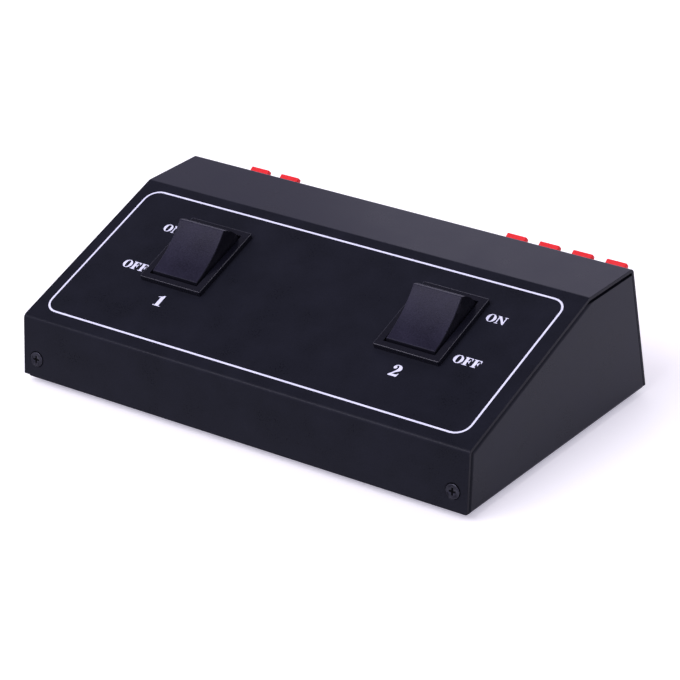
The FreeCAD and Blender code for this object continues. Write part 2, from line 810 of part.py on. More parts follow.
def switch_housing(label, across):
    """Bezel and body in one moulding: a well for the rocker, a floor for the blades and snap barbs."""
    body = doc.addObject("PartDesign::Body", f"{label}_shell")
    bezel = rectangle(body, "XY_Plane", "Bezel", "Worked.bezel_width", "Worked.bezel_length")
    pad(body, bezel, "Sizes.bezel_height")
    round_edges(body, lambda edge: edge.BoundBox.ZLength > NEAR, "Sizes.bezel_corner")
    round_edges(
        body,
        lambda edge: edge.BoundBox.ZMin > sizes.bezel_height - NEAR,
        "Sizes.bezel_bevel",
    )
    block = rectangle(
        body, "XY_Plane", "SwitchBody", "2 * Worked.body_half_width", "2 * Worked.body_half_length"
    )
    pad(body, block, "Sizes.body_depth", downward=True)
    for side in ("", "-"):
        barb = [
            (f"{side}(Worked.body_half_length - Sizes.cutout_gap)", "-Sizes.sheet - Sizes.seam_gap"),
            (f"{side}(Worked.body_half_length + Sizes.barb_out)", "-Sizes.sheet - Sizes.seam_gap"),
            (f"{side}(Worked.body_half_length - Sizes.cutout_gap)", "-Sizes.sheet - Sizes.barb_drop"),
        ]
        pad(body, outline(body, "YZ_Plane", "Barb", barb), "Sizes.barb_width", both_ways=True)
    well = rectangle(body, "XY_Plane", "Well", "Sizes.well_width", "Worked.well_length")
    pocket(body, well, "2 * (Sizes.body_depth - Sizes.body_floor)")
    tools = [
        rod(
            "RockerSeat",
            "Sizes.pin_radius + Sizes.pin_gap",
            "4 * Worked.body_half_width",
            ("-2 * Worked.body_half_width", "0", "-Sizes.pivot_depth"),
            "x",
        )
    ]
    for pole in ("-", ""):
        for blade_y in ("0", "-Sizes.output_offset"):
            tools.append(
                box(
                    "BladeSlot",
                    (
                        "Sizes.blade_width + 2 * Sizes.slot_gap",
                        "Sizes.blade_thick + 2 * Sizes.slot_gap",
                        "4 * Sizes.body_floor",
                    ),
                    f"{pole}Worked.pole_offset",
                    f"{blade_y} - Sizes.blade_thick / 2 - Sizes.slot_gap",
                    "-Sizes.body_depth - 2 * Sizes.body_floor",
                )
            )
    return stand(cut(label, body, *tools), "panel", across)


def rocker(label, across):
    """A dished rocker with a hollow underside, two pivot pins and two plunger tubes."""
    width = "Worked.rocker_width"
    radius = "Sizes.rocker_radius"
    drum = rod("RockerDrum", radius, width, (f"-({width}) / 2", "0", "0"), "x")
    band = box(
        "RockerBand",
        (f"2 * ({width})", f"4 * ({radius})", "Worked.rocker_top + Sizes.rocker_skirt"),
        "0",
        f"-2 * ({radius})",
        "-Sizes.rocker_skirt",
    )
    dish = rod(
        "RockerDish",
        "Worked.dish_radius",
        f"2 * ({width})",
        (f"-({width})", "0", "Worked.rocker_top - Sizes.rocker_dish + Worked.dish_radius"),
        "x",
    )
    inside_width = f"{width} - 2 * Sizes.rocker_wall"
    inside_radius = f"{radius} - Sizes.rocker_wall"
    room = common(
        "RockerRoom",
        rod("RoomDrum", inside_radius, inside_width, (f"-({inside_width}) / 2", "0", "0"), "x"),
        box(
            "RoomBand",
            (f"2 * ({width})", f"4 * ({radius})", "Worked.ceiling + 2 * Sizes.rocker_skirt"),
            "0",
            f"-2 * ({radius})",
            "-2 * Sizes.rocker_skirt",
        ),
    )
    outside = cut("RockerOutside", common("RockerBlank", drum, band), dish)
    body = doc.addObject("PartDesign::Body", f"{label}_outside")
    body.BaseFeature = outside
    doc.recompute()
    top = worked.rocker_top
    lip = top - sizes.rocker_dish - NEAR
    round_edges(body, lambda edge: edge.BoundBox.ZMin > lip, "Sizes.rocker_round")
    shell = cut("RockerShell", body, room)
    extras = []
    bores = []
    for side in ("-", ""):
        reach = "Sizes.well_width / 2 + Sizes.pin_reach"
        start = f"{reach} - Sizes.rocker_wall - Sizes.pin_reach - Sizes.pin_radius"
        pin_length = f"{reach} - ({start})"
        pin_start = f"-({reach})" if side else start
        extras.append(rod("PivotPin", "Sizes.pin_radius", pin_length, (pin_start, "0", "0"), "x"))
        pole = f"{side}Worked.pole_offset"
        extras.append(
            rod(
                "PlungerTube",
                "Worked.tube_radius",
                "Sizes.tube_drop + Worked.ceiling + Sizes.rocker_skin / 2",
                (pole, "0", "-Sizes.tube_drop"),
            )
        )
        bores.append(
            rod(
                "PlungerBore",
                "Worked.tube_bore",
                "2 * Sizes.tube_drop + Worked.ceiling - Sizes.rocker_skin / 2",
                (pole, "0", "-2 * Sizes.tube_drop"),
            )
        )
    whole = cut(label, fuse("RockerFused", shell, *extras), *bores)
    return stand(whole, "panel", across, turn="Sizes.rocker_tilt", z="-Sizes.pivot_depth")


def plungers(label, across):
    """Two nylon plungers that slide in the rocker's tubes and bear on the contact plates."""
    pins = []
    for side in ("-", ""):
        pole = f"{side}Worked.pole_offset"
        shank = rod(
            "PlungerShank",
            "Sizes.plunger_radius",
            "Sizes.plunger_neck - Sizes.plunger_top",
            (pole, "0", "-Sizes.plunger_neck"),
        )
        ball_depth = "(Worked.plunger_reach - Sizes.plunger_tip)"
        neck = rod(
            "PlungerNeck",
            "Sizes.plunger_tip",
            f"{ball_depth} - Sizes.plunger_neck + Sizes.plunger_tip",
            (pole, "0", f"-{ball_depth}"),
        )
        ball = doc.addObject("Part::Sphere", "PlungerBall")
        ball.setExpression("Radius", "Sizes.plunger_tip")
        ball.setExpression(".Placement.Base.x", pole)
        ball.setExpression(".Placement.Base.z", f"-{ball_depth}")
        pins.append(fuse("Plunger", shank, neck, ball))
    whole = group(label, *pins)
    return stand(whole, "panel", across, turn="Sizes.rocker_tilt", z="-Sizes.pivot_depth")


def plunger_springs(label, across):
    """Two compression springs between the plungers and the tops of their tubes."""
    coils = []
    for side in ("-", ""):
        coil = doc.addObject("Part::Helix", "Coil")
        low = "(-Sizes.plunger_top + Sizes.coil_wire)"
        coil.setExpression("Radius", "Worked.coil_radius")
        coil.setExpression("Pitch", "Sizes.coil_pitch")
        coil.setExpression(
            "Height", f"Worked.ceiling - Sizes.rocker_skin / 2 - Sizes.coil_wire - {low}"
        )
        loop = doc.addObject("Part::Circle", "CoilSection")
        loop.Placement = FreeCAD.Placement(Vector(), TURNS["y"])
        loop.setExpression("Radius", "Sizes.coil_wire")
        loop.setExpression(".Placement.Base.x", "Worked.coil_radius")
        doc.recompute()
        spring = doc.addObject("Part::Sweep", "PlungerSpring")
        spring.Sections = [loop]
        spring.Spine = (coil, [])
        spring.Solid = True
        spring.Frenet = True
        held = group("PlungerSpringHeld", spring)
        held.setExpression(".Placement.Base.x", f"{side}Worked.pole_offset")
        held.setExpression(".Placement.Base.z", low)
        coils.append(held)
    whole = group(label, *coils)
    return stand(whole, "panel", across, turn="Sizes.rocker_tilt", z="-Sizes.pivot_depth")


def contact_plates(label, across):
    """Two rocking contact plates, each a shallow V on a rib that sits in its blade's saddle."""
    body = doc.addObject("PartDesign::Body", f"{label}_plate")
    rise = "Sizes.plate_arm * tan(Sizes.plate_angle * 1 deg)"
    thick = "Sizes.plate_thick / cos(Sizes.plate_angle * 1 deg)"
    corners = [
        ("0", "0"),
        ("Sizes.plate_arm", rise),
        ("Sizes.plate_arm", f"{rise} + {thick}"),
        ("0", thick),
        ("-Sizes.plate_arm", f"{rise} + {thick}"),
        ("-Sizes.plate_arm", rise),
    ]
    pad(body, outline(body, "YZ_Plane", "PlateSide", corners), "Sizes.plate_width", both_ways=True)
    rib = circles(body, "YZ_Plane", "PlateRib", "Sizes.rib_radius", [("0", "0")])
    pad(body, rib, "Sizes.plate_width", both_ways=True)
    body.setExpression(".Placement.Base.x", "Worked.pole_offset")
    whole = group(label, body, mirrored(f"{label}_other", body))
    return stand(whole, "panel", across, turn="-Sizes.plate_tilt", z="-Sizes.plate_depth")


def common_blades(label, across):
    """Two common blades, each with a saddle that carries a contact plate."""
    blade = box(
        "CommonBlade",
        (
            "Sizes.blade_width",
            "Sizes.blade_thick",
            "Sizes.body_depth + Sizes.blade_length - Sizes.plate_depth - Sizes.saddle_height / 2",
        ),
        "Worked.pole_offset",
        "-Sizes.blade_thick / 2",
        "-Sizes.body_depth - Sizes.blade_length",
    )
    saddle = box(
        "Saddle",
        ("Sizes.plate_width", "Sizes.saddle_length", "Sizes.saddle_height"),
        "Worked.pole_offset",
        "-Sizes.saddle_length / 2",
        "-Sizes.plate_depth - Sizes.saddle_height",
    )
    notch = rod(
        "SaddleNotch",
        "Sizes.rib_radius + Sizes.pin_gap",
        "2 * Sizes.blade_width",
        ("Worked.pole_offset - Sizes.blade_width", "0", "-Sizes.plate_depth"),
        "x",
    )
    whole = cut("CommonBladeWhole", fuse("CommonBladeFused", blade, saddle), notch)
    return stand(group(label, whole, mirrored(f"{label}_other", whole)), "panel", across)


def output_blades(label, across):
    """Two output blades with contact tongues under the front ends of the contact plates."""
    reach = "(Sizes.plate_arm * tan(Sizes.plate_angle * 1 deg))"
    dip = "(Sizes.plate_arm * tan(Sizes.plate_tilt * 1 deg) + Sizes.contact_gap)"
    top = f"(-Sizes.plate_depth + {reach} - {dip})"
    blade = box(
        "OutputBlade",
        ("Sizes.blade_width", "Sizes.blade_thick", f"Sizes.body_depth + Sizes.blade_length + {top}"),
        "Worked.pole_offset",
        "-Sizes.output_offset - Sizes.blade_thick / 2",
        "-Sizes.body_depth - Sizes.blade_length",
    )
    tongue = box(
        "OutputTongue",
        ("Sizes.plate_width", "Sizes.tongue_length", "Sizes.blade_thick"),
        "Worked.pole_offset",
        "-Sizes.output_offset - Sizes.blade_thick / 2",
        f"{top} - Sizes.blade_thick",
    )
    whole = fuse("OutputBladeWhole", blade, tongue)
    return stand(group(label, whole, mirrored(f"{label}_other", whole)), "panel", across)


def blade_receptacles():
    """Push-on receptacles over the ends of all the blades."""
    sleeves = []
    for switch in ("-", ""):
        for pole in ("-", ""):
            for blade_y in ("0", "-Sizes.output_offset"):
                outside = box(
                    "Sleeve",
                    ("Worked.sleeve_width", "Worked.sleeve_thick", "Sizes.sleeve_length"),
                    f"{pole}Worked.pole_offset",
                    f"{blade_y} - Worked.sleeve_thick / 2",
                    "-Sizes.body_depth - Sizes.blade_length",
                )
                slot = box(
                    "SleeveSlot",
                    (
                        "Sizes.blade_width + 2 * Sizes.slot_gap",
                        "Sizes.blade_thick + 2 * Sizes.slot_gap",
                        "4 * Sizes.sleeve_length",
                    ),
                    f"{pole}Worked.pole_offset",
                    f"{blade_y} - Sizes.blade_thick / 2 - Sizes.slot_gap",
                    "-Sizes.body_depth - Sizes.blade_length - Sizes.sleeve_length",
                )
                sleeve = cut("Receptacle", outside, slot)
                sleeves.append(stand(sleeve, "panel", f"{switch}Sizes.switch_offset"))
    return group("blade_receptacles", *sleeves)


# ---------------------------------------------------------------- terminal blocks

BLOCKS = {
    "input": ("-Worked.input_x", "Worked.input_half", 2),
    "speaker": ("Worked.speaker_x", "Worked.speaker_half", 4),
}
ROWS = {"black": "Sizes.row_low", "red": "Worked.row_high"}


def column_x(column, count):
    return f"{column - (count - 1) / 2} * Sizes.terminal_pitch"


def terminal_plate(block):
    """The outer plate: a flange on the wall, a boss through it, lever windows and wire holes."""
    across, half, count = BLOCKS[block]
    body = doc.addObject("PartDesign::Body", f"{block}_plate_flange")
    edge = f"({half} + Sizes.plate_lip)"
    low = "Sizes.row_low - Worked.plate_low"
    high = "Worked.row_high + Worked.plate_high"
    corners = [(f"-{edge}", low), (edge, low), (edge, high), (f"-{edge}", high)]
    flange = outline(body, "XZ_Plane", "Flange", corners)
    pad(body, flange, "Sizes.plate_front", downward=True)
    round_edges(
        body,
        lambda piece: piece.BoundBox.YLength > NEAR and piece.BoundBox.XLength < NEAR,
        "Sizes.plate_corner",
    )
    face = sizes.plate_front - NEAR
    round_edges(body, lambda piece: piece.BoundBox.YMin > face, "Sizes.lever_round")
    boss = box(
        "PlateBoss",
        (
            f"2 * ({half} - Sizes.plate_lip)",
            "Sizes.sheet",
            "Worked.row_high - Sizes.row_low + Sizes.cell_low + Worked.cell_high",
        ),
        "0",
        "-Sizes.sheet",
        "Sizes.row_low - Sizes.cell_low",
    )
    tools = []
    through = "Sizes.plate_front + 4 * Sizes.sheet"
    for row in ROWS.values():
        for column in range(count):
            middle = column_x(column, count)
            tools.append(
                box(
                    "LeverWindow",
                    ("Worked.window_width", through, "Worked.window_high - Worked.window_low"),
                    middle,
                    "-2 * Sizes.sheet",
                    f"{row} + Worked.window_low",
                )
            )
            hole = rod("WireHole", "Sizes.wire_hole", through, (middle, "-2 * Sizes.sheet", row), "y")
            flare = cone(
                "WireFlare",
                ("Sizes.wire_hole", "Sizes.wire_hole + Sizes.hole_flare"),
                "Sizes.hole_flare",
                (middle, "Sizes.plate_front - Sizes.hole_flare", row),
                "y",
            )
            tools.append(fuse("WireEntry", hole, flare))
    for side in ("-", ""):
        tools.append(
            rod(
                "PlateScrewHole",
                "Sizes.small_screw_radius + Sizes.screw_gap",
                through,
                (
                    f"{side}Sizes.terminal_pitch",
                    "-2 * Sizes.sheet",
                    "Sizes.row_low + Sizes.small_screw_rise",
                ),
                "y",
            )
        )
    whole = cut(f"{block}_terminal_plate", fuse(f"{block}_plate_blank", body, boss), *tools)
    return stand(whole, "rear", across)


def terminal_housing(block):
    """The inner housing: one cell for each lever and its contact spring, open at the back."""
    across, half, count = BLOCKS[block]
    depth = "Sizes.block_back - Sizes.sheet"
    blank = box(
        f"{block}_housing_blank",
        (
            f"2 * ({half})",
            depth,
            "Worked.row_high - Sizes.row_low + Worked.block_low + Worked.block_high",
        ),
        "0",
        "-Sizes.block_back",
        "Sizes.row_low - Worked.block_low",
    )
    tools = []
    for row in ROWS.values():
        for column in range(count):
            tools.append(
                box(
                    "Cell",
                    ("Worked.cell_width", f"2 * ({depth})", "Sizes.cell_low + Worked.cell_high"),
                    column_x(column, count),
                    f"-Sizes.block_back - ({depth}) / 2",
                    f"{row} - Sizes.cell_low",
                )
            )
        reach = (
            f"({(count - 1) / 2} * Sizes.terminal_pitch + Worked.cell_width / 2"
            " + Sizes.trunnion_reach + Sizes.trunnion_end_gap)"
        )
        tools.append(
            rod(
                "TrunnionSeat",
                "Sizes.trunnion_radius + Sizes.pin_gap",
                f"2 * {reach}",
                (f"-{reach}", "-Worked.lever_in", f"{row} + Sizes.lever_rise"),
                "x",
            )
        )
    for side in ("-", ""):
        tools.append(
            rod(
                "HousingScrewHole",
                "Sizes.small_screw_radius + Sizes.screw_gap",
                "Sizes.small_screw_length + Sizes.plate_front",
                (
                    f"{side}Sizes.terminal_pitch",
                    "-Sizes.small_screw_length - Sizes.plate_front / 2",
                    "Sizes.row_low + Sizes.small_screw_rise",
                ),
                "y",
            )
        )
    return stand(cut(f"{block}_terminal_housing", blank, *tools), "rear", across)


def lever(label, block, row, column):
    """A push lever: a finger tab with grip grooves, a hub and two trunnions."""
    across, _, count = BLOCKS[block]
    body = doc.addObject("PartDesign::Body", f"{label}_body")
    half = "Sizes.lever_thick / 2"
    corners = [
        ("0", f"-({half})"),
        ("Sizes.lever_taper", f"-({half})"),
        ("Sizes.lever_reach", f"{half} - Sizes.lever_tip"),
        ("Sizes.lever_reach", half),
        ("0", half),
    ]
    pad(body, outline(body, "YZ_Plane", "Tab", corners), "Sizes.lever_width", both_ways=True)
    taper = sizes.lever_taper
    round_edges(body, lambda edge: edge.BoundBox.YMax > taper + NEAR, "Sizes.lever_round")
    hub = circles(body, "YZ_Plane", "Hub", "Sizes.hub_radius", [("0", "0")])
    pad(body, hub, "Sizes.lever_width", both_ways=True)
    trunnions = circles(body, "YZ_Plane", "Trunnions", "Sizes.trunnion_radius", [("0", "0")])
    pad(body, trunnions, "Worked.cell_width + 2 * Sizes.trunnion_reach", both_ways=True)
    middles = [(f"Sizes.groove_first + {step} * Sizes.groove_pitch", half) for step in range(3)]
    grooves = circles(body, "YZ_Plane", "Grooves", "Sizes.groove_radius", middles)
    pocket(body, grooves, "2 * Sizes.lever_width")
    body.Label = label
    return stand(
        body,
        "rear",
        f"{across} + {column_x(column, count)}",
        turn="Sizes.lever_angle",
        y="-Worked.lever_in",
        z=f"{ROWS[row]} + Sizes.lever_rise",
    )


def bent_at(edge, y):
    """Whether an edge runs across a strip at y."""
    extent = edge.BoundBox
    return spans_x(edge, sizes.strip_width) and abs(extent.YMin - y) + abs(extent.YMax - y) < NEAR


def contact_springs(block):
    """Hairpin contact springs: a floor leg with a solder lug, and a leg that clamps the wire."""
    across, _, count = BLOCKS[block]
    springs = []
    thick = "Sizes.strip_thick"
    floor = "-Sizes.cell_low"
    hub_low = "(Sizes.lever_rise - Sizes.hub_radius - Sizes.spring_gap)"
    leg_front = "-Worked.lever_in"
    for row in ROWS.values():
        for column in range(count):
            body = doc.addObject("PartDesign::Body", f"{block}_spring")
            back = "-Worked.strip_back"
            corners = [
                ("-Sizes.strip_start", floor),
                ("-Sizes.strip_start", f"{floor} + {thick}"),
                (f"{back} + {thick}", f"{floor} + {thick}"),
                (f"{back} + {thick}", f"{hub_low} + {thick}"),
                (leg_front, f"{hub_low} - {thick}"),
                (leg_front, hub_low),
                (back, f"{hub_low} + 2 * {thick}"),
                (back, floor),
            ]
            strip = outline(body, "YZ_Plane", "Strip", corners)
            pad(body, strip, "Sizes.strip_width", both_ways=True)
            outer = -worked.strip_back
            inner = outer + sizes.strip_thick
            round_edges(body, lambda edge: bent_at(edge, inner), f"Sizes.spring_bend - {thick}")
            round_edges(body, lambda edge: bent_at(edge, outer), "Sizes.spring_bend")
            lug_length = "Sizes.lug_reach + Sizes.block_back - Worked.strip_back + 2 * Sizes.spring_bend"
            lug = box(
                "Lug",
                ("Sizes.lug_width", lug_length, thick),
                "0",
                "-Sizes.block_back - Sizes.lug_reach",
                floor,
            )
            whole = fuse("ContactSpring", body, lug)
            across_here = f"{across} + {column_x(column, count)}"
            springs.append(stand(whole, "rear", across_here, z=row))
    return group(f"{block}_contact_springs", *springs)


# ---------------------------------------------------------------- hook-up wires


def frame_place(frame):
    """The placement of a frame as plain numbers."""
    places = {
        "case": (worked.front_y, sizes.foot_height, 0.0),
        "panel": (worked.panel_y, worked.panel_z, worked.slope_angle),
        "rear": (worked.front_y + sizes.case_depth, sizes.foot_height, worked.rear_lean),
    }
    level_y, height, turn = places[frame]
    return FreeCAD.Placement(Vector(0, level_y, height), FreeCAD.Rotation(Vector(1, 0, 0), turn))


def case_point(x, y, z):
    return frame_place("case").multVec(Vector(x, y, z))


def lug_end(block, row, column, rise):
    """Where a wire stands on a solder lug, and the point above it where the wire turns forward."""
    middle, count = {"input": (-worked.input_x, 2), "speaker": (worked.speaker_x, 4)}[block]
    x = middle + (column - (count - 1) / 2) * sizes.terminal_pitch
    height = {"black": sizes.row_low, "red": worked.row_high}[row]
    lug_y = -sizes.block_back - sizes.lug_reach / 2
    lug_z = height - sizes.cell_low + sizes.strip_thick
    rear = frame_place("rear")
    return [rear.multVec(Vector(x, lug_y, lug_z)), rear.multVec(Vector(x, lug_y, lug_z + rise))]


def blade_end(switch, pole, shift, blade="common", run=1.0):
    """Where a wire meets a blade's receptacle, and the point where it turns, run times as far out."""
    x = switch * sizes.switch_offset + pole * worked.pole_offset + shift
    depth = -sizes.body_depth - sizes.blade_length + sizes.sleeve_length / 2
    panel = frame_place("panel")
    face = worked.sleeve_thick / 2
    out = face + run * sizes.wire_leave
    if blade == "common":
        return [panel.multVec(Vector(x, face, depth)), panel.multVec(Vector(x, out, depth))]
    middle = -sizes.output_offset
    return [panel.multVec(Vector(x, middle - face, depth)), panel.multVec(Vector(x, middle - out, depth))]


def wire(label, points):
    """A round wire of straight runs and tangent arcs through a list of points."""
    edges = []
    start = points[0]
    for before, corner, after in zip(points, points[1:], points[2:]):
        arrive = (corner - before).normalize()
        leave = (after - corner).normalize()
        turn = arrive.getAngle(leave)
        shorter = min((corner - before).Length, (after - corner).Length)
        reach = min(sizes.wire_bend * math.tan(turn / 2), 0.45 * shorter)
        radius = reach / math.tan(turn / 2)
        first = corner - arrive * reach
        last = corner + leave * reach
        inward = (leave - arrive).normalize()
        middle = corner + inward * (radius / math.cos(turn / 2) - radius)
        edges.append(Part.LineSegment(start, first).toShape())
        edges.append(Part.Arc(first, middle, last).toShape())
        start = last
    edges.append(Part.LineSegment(start, points[-1]).toShape())
    path = Part.Wire(edges)
    direction = (points[1] - points[0]).normalize()
    section = Part.Wire([Part.makeCircle(sizes.wire_radius, points[0], direction)])
    tube = path.makePipeShell([section], True, True)
    wanted = math.pi * sizes.wire_radius**2 * path.Length
    if abs(tube.Volume / wanted - 1) > 0.01:
        raise RuntimeError(f"{label} has the wrong volume")
    feature = doc.addObject("Part::Feature", label)
    feature.Shape = tube
    return feature


LEFT, RIGHT = -1, 1


def input_wires():
    """From the amplifier's red terminals to the first switch."""
    wires = []
    for name, column, pole in (("left", 0, LEFT), ("right", 1, RIGHT)):
        lug, above = lug_end("input", "red", column, sizes.wire_rise)
        blade, beside = blade_end(LEFT, pole, -sizes.wire_spread)
        forward = above - Vector(0, sizes.wire_forward, 0)
        wires.append(wire(f"input_wire_{name}", [lug, above, forward, beside, blade]))
    return wires


def bridge_wires():
    """From the first switch's common blades to the second's, each in a lane of its own."""
    wires = []
    turn = 6.0
    lanes = {"left": (LEFT, 68.0, 19.0), "right": (RIGHT, 65.0, 8.0)}
    for name, (pole, lane_y, lane_z) in lanes.items():
        first, leaving = blade_end(LEFT, pole, sizes.wire_spread)
        last, arriving = blade_end(RIGHT, pole, 0.0)
        lane = case_point(0, lane_y, lane_z)
        into = Vector(leaving.x + turn, lane.y, lane.z)
        out_of = Vector(arriving.x - turn, lane.y, lane.z)
        wires.append(wire(f"bridge_wire_{name}", [first, leaving, into, out_of, arriving, last]))
    return wires


def speaker_wires():
    """From the switches' output blades, round the switches, to the speakers' red terminals."""
    # switch, pole, terminal column, side to pass on, how far out, lane y and z, run from the blade
    routes = {
        "speaker_1_wire_left": (LEFT, LEFT, 0, LEFT, 14.5, 74.5, 8.0, 1.0),
        "speaker_1_wire_right": (LEFT, RIGHT, 1, RIGHT, 14.5, 70.5, 5.5, 1.0),
        "speaker_2_wire_left": (RIGHT, LEFT, 2, RIGHT, 19.0, 62.0, 5.0, 2.0),
        "speaker_2_wire_right": (RIGHT, RIGHT, 3, RIGHT, 14.5, 71.0, 5.0, 1.0),
    }
    last_bend = Vector(0, 3.0, 0)
    wires = []
    for label, (switch, pole, column, side, out, lane_y, lane_z, run) in routes.items():
        blade, ahead = blade_end(switch, pole, 0.0, "output", run)
        lug, above = lug_end("speaker", "red", column, sizes.wire_rise)
        beside_x = switch * sizes.switch_offset + side * out
        lane = case_point(0, lane_y, lane_z)
        points = [blade, ahead, Vector(beside_x, ahead.y, lane.z)]
        points.append(Vector(beside_x, lane.y, lane.z))
        if switch == LEFT:
            points.append(Vector(lug.x, lane.y, lane.z))
        elif label == "speaker_2_wire_right":
            points.append(Vector(lug.x, lane.y, lane.z) + last_bend)
        points += [above - Vector(0, sizes.wire_forward, 0), above, lug]
        wires.append(wire(label, points))
    return wires


def return_wires():
    """Black returns: from the amplifier's black terminals to the first pair, and on to the second."""
    wires = []
    lanes = {"left": (0, 79.5, 8.0), "right": (1, 79.5, 13.0)}
    for name, (column, lane_y, lane_z) in lanes.items():
        lane = case_point(0, lane_y, lane_z)
        first, rise = lug_end("input", "black", column, sizes.return_rise)
        last, fall = lug_end("speaker", "black", column, sizes.return_rise)
        points = [first, rise, Vector(rise.x, lane.y, lane.z), Vector(fall.x, lane.y, lane.z), fall]
        wires.append(wire(f"return_wire_{name}", points + [last]))
    return wires


# ---------------------------------------------------------------- the whole object


def build():
    parts = [case_cover(), base_tray(), feet(), cover_screws(), terminal_screws()]
    for number, across in ((1, "-Sizes.switch_offset"), (2, "Sizes.switch_offset")):
        for name, make in (
            ("housing", switch_housing),
            ("rocker", rocker),
            ("plungers", plungers),
            ("plunger_springs", plunger_springs),
            ("contact_plates", contact_plates),
            ("common_blades", common_blades),
            ("output_blades", output_blades),
        ):
            parts.append(make(f"switch_{number}_{name}", across))
    parts.append(blade_receptacles())
    for block, (_, _, count) in BLOCKS.items():
        parts += [terminal_plate(block), terminal_housing(block), contact_springs(block)]
        for row in ROWS:
            for column in range(count):
                label = f"{block}_lever_{row}_{column + 1}"
                parts.append(lever(label, block, row, column))
    parts += input_wires() + bridge_wires() + speaker_wires() + return_wires()
    doc.recompute()
    return parts


def check(parts):
    for item in doc.Objects:
        if "Invalid" in item.State or "Error" in item.State:
            raise RuntimeError(f"{item.Name} failed: {item.State}")
    for part in parts:
        if part.Shape.isNull() or not part.Shape.isValid() or not part.Shape.Solids:
            raise RuntimeError(f"{part.Label} has no valid shape")


def write(parts):
    os.makedirs("parts", exist_ok=True)
    for part in parts:
        part.Shape.exportStep(f"parts/{part.Label}.step")
        print(part.Label, len(part.Shape.Solids), round(part.Shape.Volume, 1))


everything = build()
check(everything)
write(everything)
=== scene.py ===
"""Looks for a speaker selector switch: its finishes, eased edges, printed marks and studio.

Metres. +X to the right, +Y to the rear, +Z up, with the floor at zero.
"""
import json
import math

import bmesh
import bpy
from mathutils import Matrix, Vector


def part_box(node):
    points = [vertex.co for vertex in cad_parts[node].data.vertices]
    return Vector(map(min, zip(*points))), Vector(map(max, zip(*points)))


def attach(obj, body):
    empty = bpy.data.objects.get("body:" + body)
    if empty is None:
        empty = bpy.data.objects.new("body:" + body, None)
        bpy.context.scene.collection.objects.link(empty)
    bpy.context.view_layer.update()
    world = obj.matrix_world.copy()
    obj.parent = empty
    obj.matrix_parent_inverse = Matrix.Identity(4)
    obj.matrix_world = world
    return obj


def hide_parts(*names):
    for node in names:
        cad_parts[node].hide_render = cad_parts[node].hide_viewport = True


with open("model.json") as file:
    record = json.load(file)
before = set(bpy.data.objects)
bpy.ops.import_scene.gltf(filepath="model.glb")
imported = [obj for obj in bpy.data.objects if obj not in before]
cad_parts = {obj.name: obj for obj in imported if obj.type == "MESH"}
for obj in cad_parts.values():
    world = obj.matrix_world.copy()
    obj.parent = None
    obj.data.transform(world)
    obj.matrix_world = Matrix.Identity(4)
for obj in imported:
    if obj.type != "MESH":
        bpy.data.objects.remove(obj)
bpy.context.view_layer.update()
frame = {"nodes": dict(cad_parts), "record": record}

MM = 0.001

# ---------------------------------------------------------------- places on the case

CASE_FRONT = -55.7234 * MM  # the foot of the front wall
CASE_FOOT = 2.0 * MM  # the underside of the case, on its feet
FRONT_HEIGHT = 22.25 * MM  # from the underside up to the bend below the panel
CASE_HEIGHT = 47.05 * MM  # from the underside up to the top strip
FRONT_LEAN = 1.9 * MM  # how far that bend lies behind the foot of the front wall
PANEL_DEPTH = 68.9 * MM  # from that bend back to the top strip, measured level
PANEL_FOOT = Vector((0, CASE_FRONT + FRONT_LEAN, CASE_FOOT + FRONT_HEIGHT))
PANEL_SLOPE = math.atan2(CASE_HEIGHT - FRONT_HEIGHT, PANEL_DEPTH)


def on_panel(lift):
    """Turns the panel's own across, along and outward into a place in the frame."""
    slope = Matrix.Rotation(PANEL_SLOPE, 4, "X")
    return Matrix.Translation(PANEL_FOOT) @ slope @ Matrix.Translation((0, 0, lift))


# ---------------------------------------------------------------- finishes


def tint(code):
    """The linear colour of an sRGB hex code."""
    parts = [int(code[start:start + 2], 16) / 255 for start in (1, 3, 5)]
    linear = [
        part / 12.92 if part <= 0.04045 else ((part + 0.055) / 1.055) ** 2.4 for part in parts
    ]
    return (*linear, 1.0)


def pitch(millimetres):
    """A texture's scale for a detail of this size."""
    return 1 / (millimetres * MM)


def add(tree, kind, inputs, **settings):
    """A node with its settings, and with a value or a link on each named input."""
    node = tree.nodes.new("ShaderNode" + kind)
    for name, value in settings.items():
        setattr(node, name, value)
    for name, value in inputs.items():
        if isinstance(value, bpy.types.NodeSocket):
            tree.links.new(value, node.inputs[name])
        else:
            node.inputs[name].default_value = value
    return node


def blank(name):
    """An empty material and the object's own coordinates in it."""
    material = bpy.data.materials.new(name)
    material.use_nodes = True
    tree = material.node_tree
    tree.nodes.clear()
    return material, tree, add(tree, "TexCoord", {}).outputs["Object"]


GRAIN_LOW, GRAIN_HIGH = 0.7, 1.3  # what two added noises mostly stay between


